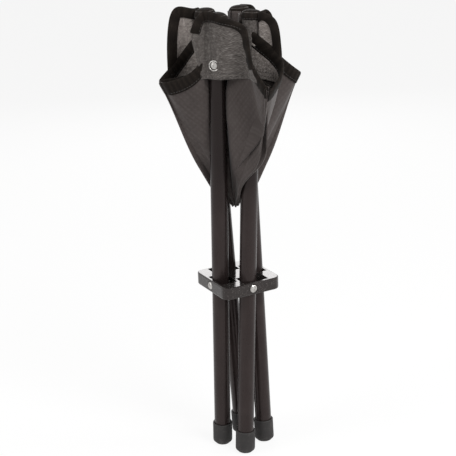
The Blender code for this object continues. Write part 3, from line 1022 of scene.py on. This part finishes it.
def bind_edge(facet):
    """The tape folded over the facet's part of the seat's edge, cut slanting along its folds."""
    wing = isinstance(facet, Wing)
    fold_h = facet.depth - facet.end_h
    slant_end = fold_h * facet.edge_h - facet.end_s * facet.edge_s
    slant_end /= fold_h * facet.edge_s + facet.end_s * facet.edge_h
    slant_begin = 0.0 if wing else facet.edge_h / facet.edge_s
    begin = EDGE_TAPE_STARTS.get(facet.name, EDGE_TAPE_START) if wing else 0.0
    end = facet.edge + (LIP_AT_TIP if wing else 0.0)
    count = 52 if wing else 26
    stations = []
    for i in range(count + 1):
        share = i / count
        section = []
        for inset, proud in BINDING_SECTION:
            inset = inset * BINDING_WIDTH
            along = begin + inset * slant_begin
            along += (end + inset * slant_end - along) * share
            section.append(facet.inwards(along, inset))
        stations.append((begin + (end - begin) * share, section))
    return tape("binding_" + facet.name, facet, stations)


def arch_stations(shield, count):
    """Distances across a corner patch, closer together where its upper edge drops."""
    first = shield.ridge(0.0)
    return [first + (shield.tab_end - first) * (1 - (1 - i / count) ** 1.7) for i in range(count + 1)]


def bind_arch(shield):
    """The tape along the upper edge of a corner patch."""
    stations = []
    for s in arch_stations(shield, 44):
        width = tape_width(shield, s)
        stations.append((s, [arch_place(shield, s, inset * width) for inset, proud in BINDING_SECTION]))
    return tape("arch_binding_" + shield.name, shield, stations)


# Stitches and eyelets, laid by node trees


def laying_tree(name, inputs, result):
    """A geometry tree with named inputs, and its input and output nodes."""
    tree = bpy.data.node_groups.new(name, "GeometryNodeTree")
    for label, kind, value in inputs:
        socket = tree.interface.new_socket(name=label, in_out="INPUT", socket_type=kind)
        if value is not None:
            socket.default_value = value
    tree.interface.new_socket(name=result, in_out="OUTPUT", socket_type="NodeSocketGeometry")
    return tree, tree.nodes.new("NodeGroupInput"), tree.nodes.new("NodeGroupOutput")


def join(tree, *links):
    """Joins sockets: each link is (node, its output, next node, its input)."""
    for giver, output, taker, label in links:
        tree.links.new(giver.outputs[output], taker.inputs[label])


def turned_to(tree, axis, **settings):
    """A node that turns an axis towards a vector."""
    return node(tree, "FunctionNodeAlignRotationToVector", axis=axis, **settings)


def upward_of_path(tree):
    """The direction that each point of a path carries."""
    return node(tree, "GeometryNodeInputNamedAttribute", data_type="FLOAT_VECTOR", Name="upward")


def dress(tree, placed, source, finish_name, result, result_name):
    """Makes the placed copies real, shades them smooth, gives them their finish and hands them out."""
    real = node(tree, "GeometryNodeRealizeInstances")
    shaded = node(tree, "GeometryNodeSetShadeSmooth")
    dressed = node(tree, "GeometryNodeSetMaterial")
    join(tree, (placed, "Instances", real, "Geometry"), (real, "Geometry", shaded, "Geometry"),
         (shaded, "Geometry", dressed, "Geometry"), (source, finish_name, dressed, "Material"),
         (dressed, "Geometry", result, result_name))


def stitch_tree():
    """Lays stitches along a seam. Their sizes and thread are inputs, and the path says which way is up."""
    tree, source, result = laying_tree("stitch_row", (
        ("Seam", "NodeSocketGeometry", None),
        ("Stitch Pitch", "NodeSocketFloat", STITCH_PITCH),
        ("Stitch Length", "NodeSocketFloat", STITCH_LENGTH),
        ("Thread Diameter", "NodeSocketFloat", THREAD_DIAMETER),
        ("Thread", "NodeSocketMaterial", None)), "Stitches")
    curve = node(tree, "GeometryNodeMeshToCurve")
    spaced = node(tree, "GeometryNodeResampleCurve", mode="LENGTH")
    bead = node(tree, "GeometryNodeMeshUVSphere", Segments=6, Rings=4, Radius=0.5)
    size = node(tree, "ShaderNodeCombineXYZ")
    stitch = node(tree, "GeometryNodeTransform")
    tangent = node(tree, "GeometryNodeInputTangent")
    upward = upward_of_path(tree)
    along = turned_to(tree, "X")
    upright = turned_to(tree, "Z", pivot_axis="X")
    placed = node(tree, "GeometryNodeInstanceOnPoints")
    join(tree, (source, "Seam", curve, "Mesh"), (curve, "Curve", spaced, "Curve"),
         (source, "Stitch Pitch", spaced, "Length"), (source, "Stitch Length", size, "X"),
         (source, "Thread Diameter", size, "Y"), (source, "Thread Diameter", size, "Z"),
         (bead, "Mesh", stitch, "Geometry"), (size, "Vector", stitch, "Scale"),
         (tangent, "Tangent", along, "Vector"), (along, "Rotation", upright, "Rotation"),
         (upward, "Attribute", upright, "Vector"), (spaced, "Curve", placed, "Points"),
         (stitch, "Geometry", placed, "Instance"), (upright, "Rotation", placed, "Rotation"))
    dress(tree, placed, source, "Thread", result, "Stitches")
    return tree


def eyelet_tree():
    """A rolled steel ring round each rivet: points carry the direction that the ring faces."""
    tree, source, result = laying_tree("eyelet_ring", (
        ("Rivets", "NodeSocketGeometry", None),
        ("Ring Radius", "NodeSocketFloat", EYELET_RADIUS),
        ("Ring Roll", "NodeSocketFloat", EYELET_ROLL),
        ("Steel", "NodeSocketMaterial", None)), "Eyelets")
    circle = node(tree, "GeometryNodeCurvePrimitiveCircle", Resolution=40)
    roll = node(tree, "GeometryNodeCurvePrimitiveCircle", Resolution=10)
    ring = node(tree, "GeometryNodeCurveToMesh")
    facing = upward_of_path(tree)
    turned = turned_to(tree, "Z")
    placed = node(tree, "GeometryNodeInstanceOnPoints")
    join(tree, (source, "Ring Radius", circle, "Radius"), (source, "Ring Roll", roll, "Radius"),
         (circle, "Curve", ring, "Curve"), (roll, "Curve", ring, "Profile Curve"),
         (source, "Rivets", placed, "Points"), (ring, "Mesh", placed, "Instance"),
         (facing, "Attribute", turned, "Vector"), (turned, "Rotation", placed, "Rotation"))
    dress(tree, placed, source, "Steel", result, "Eyelets")
    return tree


def input_key(tree, name):
    """The identifier of a tree's input."""
    for item in tree.interface.items_tree:
        if item.in_out == "INPUT" and item.name == name:
            return item.identifier
    raise KeyError(name)


def lay(name, tree, paths, finish_name, finish):
    """Runs a tree on paths of (place, upward) and keeps its result as a plain mesh."""
    points = [place for path in paths for place, upward in path]
    upwards = [upward for path in paths for place, upward in path]
    edges = []
    start = 0
    for path in paths:
        edges += [(start + i, start + i + 1) for i in range(len(path) - 1)]
        start += len(path)
    mesh = bpy.data.meshes.new(name + "_path")
    mesh.from_pydata([tuple(point) for point in points], edges, [])
    direction = mesh.attributes.new("upward", "FLOAT_VECTOR", "POINT")
    direction.data.foreach_set("vector", [x for upward in upwards for x in upward])
    guide = bpy.data.objects.new(name + "_path", mesh)
    bpy.context.scene.collection.objects.link(guide)
    modifier = guide.modifiers.new(name, "NODES")
    modifier.node_group = tree
    modifier[input_key(tree, finish_name)] = finish
    evaluated = guide.evaluated_get(bpy.context.evaluated_depsgraph_get())
    made = bpy.data.meshes.new_from_object(evaluated)
    made.name = name
    piece = bpy.data.objects.new(name, made)
    bpy.context.scene.collection.objects.link(piece)
    bpy.data.objects.remove(guide)
    return piece


STITCH_TREE = stitch_tree()
EYELET_TREE = eyelet_tree()


def seam_through(facet, places, proud, face=1):
    """Path of a seam through flat places, on one face of a facet."""
    return [(facet.point(h, s, proud), facet.normal(h, s) * face) for h, s in places]


def edge_seam(facet, face):
    """Path of the seam along the seat's edge, on one face of a facet."""
    begin = TUCK_SEAM_START
    if isinstance(facet, Wing):
        past_tab = SHIELDS[facet.name].tab_end / facet.edge_s + SEAM_END_GAP
        begin = past_tab if face > 0 else INNER_SEAM_START
    end = facet.edge - SEAM_END_GAP
    inset = BINDING_WIDTH - TAPE_SEAM_INSET
    places = [facet.inwards(begin + (end - begin) * i / 40, inset) for i in range(41)]
    return seam_through(facet, places, face * (BINDING_THICKNESS / 2 + TAPE_SEAM_PROUD), face)


def arch_seam(shield):
    """Path of the seam along the upper edge of a corner patch."""
    places = []
    for s in arch_stations(shield, 30)[1:-1]:
        places.append(arch_place(shield, s, tape_width(shield, s) - TAPE_SEAM_INSET))
    return seam_through(shield, places, BINDING_THICKNESS / 2)


def hem_seam(facet, inset, first, last, proud, face):
    """Path of a seam along the hem of a corner patch."""
    h = PATCH_HEM - inset
    last = min(last, h - 0.012)
    places = [(h, first + (last - first) * i / 28) for i in range(29)]
    return seam_through(facet, places, proud, face)


def side_seam(shield):
    """Path of the seam down the free side of a narrow corner patch."""
    places = []
    for i in range(21):
        h = shield.tab_foot + 0.006 + (PATCH_HEM - 0.010 - shield.tab_foot) * i / 20
        places.append((h, patch_side(shield, h) - SIDE_SEAM_INSET))
    return seam_through(shield, places, PATCH_FACE)


def patch_seams(facet, shield):
    """Paths of the seams on both faces of a corner patch."""
    seams = [arch_seam(shield)]
    inner_face = -CLOTH_THICKNESS / 2 - PATCH_THICKNESS
    for inset in HEM_SEAM_INSETS:
        last = patch_side(shield, PATCH_HEM - inset) - SEAM_END_GAP
        seams.append(hem_seam(shield, inset, shield.ridge(PATCH_HEM) + 0.001, last, PATCH_FACE, 1))
        seams.append(hem_seam(facet, inset, 0.006, INNER_PATCH_REACH - SEAM_END_GAP, inner_face, -1))
    if facet.side == "b":
        seams.append(side_seam(shield))
    return seams


def cut_size(facet):
    """Flat area of a facet's cloth with what it tucks behind the tube and over the crest, and its box."""
    rows = facet_rows(facet, columns=24, steps=48)
    area = 0.0
    for upper, lower in zip(rows, rows[1:]):
        for a, b, c, d in zip(upper, upper[1:], lower[1:], lower):
            area += 0.5 * abs((c[0] - a[0]) * (d[1] - b[1]) - (c[1] - a[1]) * (d[0] - b[0]))
    across = [s for row in rows for h, s in row]
    return area, (max(across) - min(across), facet.depth + CUT_MARGIN)


def sew_seat():
    """The whole seat: cloth, patches, binding and seams on each facet."""
    for facet in FACETS.values():
        cloth = sew_facet(facet)
        trim = [bind_edge(facet)]
        seams = [edge_seam(facet, face) for face in (1, -1)]
        if isinstance(facet, Wing):
            shield = SHIELDS[facet.name]
            trim += [sew_shield(shield), sew_inner_patch(facet), bind_arch(shield)]
            seams += patch_seams(facet, shield)
        stitches = lay("stitches_" + facet.name, STITCH_TREE, seams, "Thread", THREAD)
        hang(stitches, facet)
        trim.append(stitches)
        area, box = cut_size(facet)


sew_seat()


# Pockets on the legs: profiles are (height above the tube's end, radius)

POCKET_PROFILE = ((-POCKET_LENGTH, 0.0103), (-POCKET_LENGTH - 0.0005, 0.0107), (-POCKET_LENGTH, 0.0112),
                  (-0.0560, 0.0114), (-0.0530, 0.0114), (-0.0515, 0.0112), (-0.0440, 0.0112),
                  (-0.0360, 0.0112), (-0.0280, 0.0112), (-0.0200, 0.0112), (-0.0120, 0.0112),
                  (-0.0050, 0.0111), (0.0005, 0.0108), (0.0030, 0.0098), (0.0045, 0.0080), (0.0053, 0.0056),
                  (0.0057, 0.0028))
POCKET_HEM_RINGS = 3
POCKET_LINING = ((0.0042, 0.0100), (-0.0300, 0.0101))
POCKET_SLACK = 0.0002
CAP_PROFILE = ((-0.0030, 0.0110), (-0.0031, 0.0117), (-0.0022, 0.0120), (-0.0004, 0.0119), (0.0016, 0.0114),
               (0.0038, 0.0101), (0.0054, 0.0081), (0.0062, 0.0056), (0.0066, 0.0028))
SEAM_RINGS = ((-0.0545, 0.0115), (-0.0020, 0.01205))


def leg_frame(leg):
    """Frame on a leg: origin at the tube's upper end, z up along the tube, x away from the stool's axis."""
    top = joint_point(leg + "_a_wing_fold")
    up = (top - joint_point(leg + "_leg_fold")).normalized()
    out = Vector((top.x, top.y, 0.0))
    out = (out - up * out.dot(up)).normalized()
    side = up.cross(out)
    turn = Matrix((out, side, up)).transposed().to_4x4()
    return Matrix.Translation(top) @ turn


class RoundPiece:
    """A turned piece on a leg, made of rings of points round the tube and of single points on its axis."""

    def __init__(self, leg):
        self.place = leg_frame(leg)
        self.points = []
        self.flat_places = []
        self.faces = []

    def add_rings(self, profile, slack=None):
        """Joined rings along a profile. Returns the first points of its first and its last ring."""
        first = len(self.points)
        for index, (z, radius) in enumerate(profile):
            for i in range(ROUND_STEPS):
                angle = 2 * math.pi * i / ROUND_STEPS
                wide = radius + (slack(index, angle, z) if slack else 0.0)
                point = Vector((wide * math.cos(angle), wide * math.sin(angle), z))
                self.points.append(self.place @ point)
                self.flat_places.append((angle * POCKET_RADIUS, z))
        last = len(self.points) - ROUND_STEPS
        for ring in range(first, last, ROUND_STEPS):
            self.join_rings(ring, ring + ROUND_STEPS)
        return first, last

    def join_rings(self, lower, upper):
        for i in range(ROUND_STEPS):
            j = (i + 1) % ROUND_STEPS
            self.faces.append((lower + i, lower + j, upper + j, upper + i))

    def close(self, ring, z, flat_z, upwards):
        """Closes a ring with a point on the axis."""
        middle = len(self.points)
        self.points.append(self.place @ Vector((0, 0, z)))
        self.flat_places.append((0.0, flat_z))
        for i in range(ROUND_STEPS):
            j = (i + 1) % ROUND_STEPS
            self.faces.append((ring + i, ring + j, middle) if upwards else (ring + j, ring + i, middle))

    def make(self, name, finish):
        return new_piece(name, self.points, self.faces, finish, self.flat_places)


def sew_pocket(leg):
    """The grey pocket over a tube's end, slightly slack, with a turned hem."""
    seed = LEGS.index(leg)

    def slack(index, angle, z):
        if index < POCKET_HEM_RINGS:
            return 0.0
        place = Vector((math.cos(angle) * 1.7, math.sin(angle) * 1.7, z * 60.0 + seed * 9.0))
        return POCKET_SLACK * noise.noise(place)

    shell = RoundPiece(leg)
    hem, top = shell.add_rings(POCKET_PROFILE, slack)
    shell.close(top, POCKET_CROWN, POCKET_CROWN, True)
    lining_top, lining_foot = shell.add_rings(POCKET_LINING)
    shell.join_rings(lining_foot, hem)
    shell.close(lining_top, LINING_CROWN, LINING_CROWN, False)
    pocket = shell.make("pocket_" + leg, PATCH_CLOTH)
    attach(pocket, "leg_" + leg)
    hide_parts("seat_pocket_" + leg)


def bind_pocket_top(leg):
    """The black tape over the top of a pocket, where the seat's binding runs round the corner."""
    shell = RoundPiece(leg)
    foot, top = shell.add_rings(CAP_PROFILE)
    shell.close(top, CAP_CROWN, CAP_CROWN, True)
    shell.close(foot, CAP_FLOOR, 0.0, False)
    cap = shell.make("pocket_binding_" + leg, BINDING_TAPE)
    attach(cap, "leg_" + leg)


def sew_pocket_seams(leg):
    """Seams round the pocket's hem and under its tape, and the eyelet under its rivet."""
    place = leg_frame(leg)
    turn = place.to_3x3()
    rings = []
    for z, radius in SEAM_RINGS:
        path = []
        for i in range(ROUND_STEPS + 1):
            angle = 2 * math.pi * i / ROUND_STEPS
            out = Vector((math.cos(angle), math.sin(angle), 0))
            path.append((place @ (out * radius + Vector((0, 0, z))), turn @ out))
        rings.append(path)
    stitches = lay("stitches_pocket_" + leg, STITCH_TREE, rings, "Thread", THREAD)
    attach(stitches, "leg_" + leg)
    low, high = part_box("pocket_rivet_" + leg)
    middle = (Vector(low) + Vector(high)) / 2
    local = place.inverted() @ middle
    out = Vector((local.x, local.y, 0)).normalized()
    seat = place @ (out * EYELET_SEAT_RADIUS + Vector((0, 0, local.z)))
    eyelet = lay("eyelet_" + leg, EYELET_TREE, [[(seat, turn @ out)]], "Steel", RIVET_STEEL)
    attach(eyelet, "leg_" + leg)


for leg_name in LEGS:
    sew_pocket(leg_name)
    bind_pocket_top(leg_name)
    sew_pocket_seams(leg_name)


# Studio


def seen_by(tree, first_ray, *other_rays):
    """1 to the kinds of ray that are named, and 0 to all others."""
    path = node(tree, "ShaderNodeLightPath")
    seen = path.outputs[first_ray]
    for ray in other_rays:
        seen = combine(tree, "MAXIMUM", seen, path.outputs[ray])
    return seen


def mix_shaders(tree, share, first, second, output):
    """Hands out a mix of two shaders, with a share of the second."""
    mix = node(tree, "ShaderNodeMixShader")
    tree.links.new(share, mix.inputs["Fac"])
    tree.links.new(first.outputs[0], mix.inputs[1])
    tree.links.new(second.outputs[0], mix.inputs[2])
    tree.links.new(mix.outputs["Shader"], output.inputs["Surface"])


def pale_surroundings():
    """White to the camera and in reflections, softer as light on the stool."""
    world = bpy.data.worlds.new("pale_surroundings")
    bpy.context.scene.world = world
    world.use_nodes = True
    tree = world.node_tree
    tree.nodes.clear()
    output = node(tree, "ShaderNodeOutputWorld")
    seen = node(tree, "ShaderNodeBackground", Color=(1, 1, 1, 1), Strength=1.0)
    lit = node(tree, "ShaderNodeBackground", Color=(1.0, 0.985, 0.97, 1), Strength=LIGHT_AROUND)
    share = seen_by(tree, "Is Camera Ray", "Is Glossy Ray", "Is Transmission Ray")
    mix_shaders(tree, share, lit, seen, output)


def pale_floor():
    """A white floor that keeps a faint shadow of the feet."""
    material = bpy.data.materials.new("pale_floor")
    material.use_nodes = True
    tree = material.node_tree
    tree.nodes.clear()
    output = node(tree, "ShaderNodeOutputMaterial")
    plain = node(tree, "ShaderNodeBsdfDiffuse", Color=(0.93, 0.93, 0.93, 1))
    white = node(tree, "ShaderNodeEmission", Color=(1, 1, 1, 1), Strength=1.0)
    share = combine(tree, "MULTIPLY", seen_by(tree, "Is Camera Ray", "Is Glossy Ray"), FLOOR_WHITE)
    mix_shaders(tree, share, plain, white, output)
    mesh = bpy.data.meshes.new("floor")
    side = FLOOR_HALF_SIDE
    corners = [(-side, -side, 0), (side, -side, 0), (side, side, 0), (-side, side, 0)]
    mesh.from_pydata(corners, [], [(0, 1, 2, 3)])
    mesh.materials.append(material)
    floor = bpy.data.objects.new("floor", mesh)
    floor.location.z = CAD_BOX[0][2] - FLOOR_GAP
    bpy.context.scene.collection.objects.link(floor)


def direction_to(azimuth, elevation):
    """Unit vector from the stool towards an azimuth, from the front, and an elevation, in degrees."""
    a = math.radians(azimuth)
    e = math.radians(elevation)
    return Vector((math.sin(a) * math.cos(e), -math.cos(a) * math.cos(e), math.sin(e)))


def put_facing(name, thing, aim, back, distance):
    """An object at a distance back from its aim, turned to face it."""
    holder = bpy.data.objects.new(name, thing)
    holder.location = aim + back * distance
    holder.rotation_mode = "QUATERNION"
    holder.rotation_quaternion = (-back).to_track_quat("-Z", "Y")
    bpy.context.scene.collection.objects.link(holder)
    return holder


def soft_lamp(name, azimuth, elevation, distance, size, power):
    """A large soft lamp that faces the stool's middle."""
    light = bpy.data.lights.new(name, "AREA")
    light.shape = "DISK"
    light.size = size
    light.energy = power
    put_facing(name, light, Vector((0, 0, LAMPS_AIM_HEIGHT)), direction_to(azimuth, elevation), distance)


def photo_camera():
    """The camera at the photograph's angle."""
    back = direction_to(CAMERA_AZIMUTH, CAMERA_ELEVATION)
    a = math.radians(CAMERA_AZIMUTH)
    right = Vector((math.cos(a), math.sin(a), 0.0))
    aim = Vector((0, 0, joint_point(OPENING_JOINT).z + AIM_ABOVE_PIVOT)) - right * AIM_TO_THE_LEFT
    camera = bpy.data.cameras.new("photo_camera")
    camera.sensor_width = SENSOR_WIDTH
    camera.lens = SENSOR_WIDTH * FOCAL_PIXELS / PHOTO_PIXELS
    holder = put_facing("photo_camera", camera, aim, back, CAMERA_DISTANCE)
    roll = Matrix.Rotation(math.radians(CAMERA_ROLL), 3, back).to_quaternion()
    holder.rotation_quaternion = roll @ holder.rotation_quaternion
    bpy.context.scene.camera = holder


pale_surroundings()
pale_floor()
soft_lamp("left_lamp", azimuth=-97.0, elevation=36.0, distance=1.7, size=1.1, power=14.0)
soft_lamp("right_lamp", azimuth=62.0, elevation=34.0, distance=1.7, size=0.8, power=7.0)
soft_lamp("front_lamp", azimuth=16.0, elevation=42.0, distance=1.7, size=0.9, power=21.0)
soft_lamp("back_lamp", azimuth=151.6, elevation=19.0, distance=1.8, size=0.9, power=7.0)
photo_camera()
bpy.context.scene.view_settings.view_transform = "Standard"
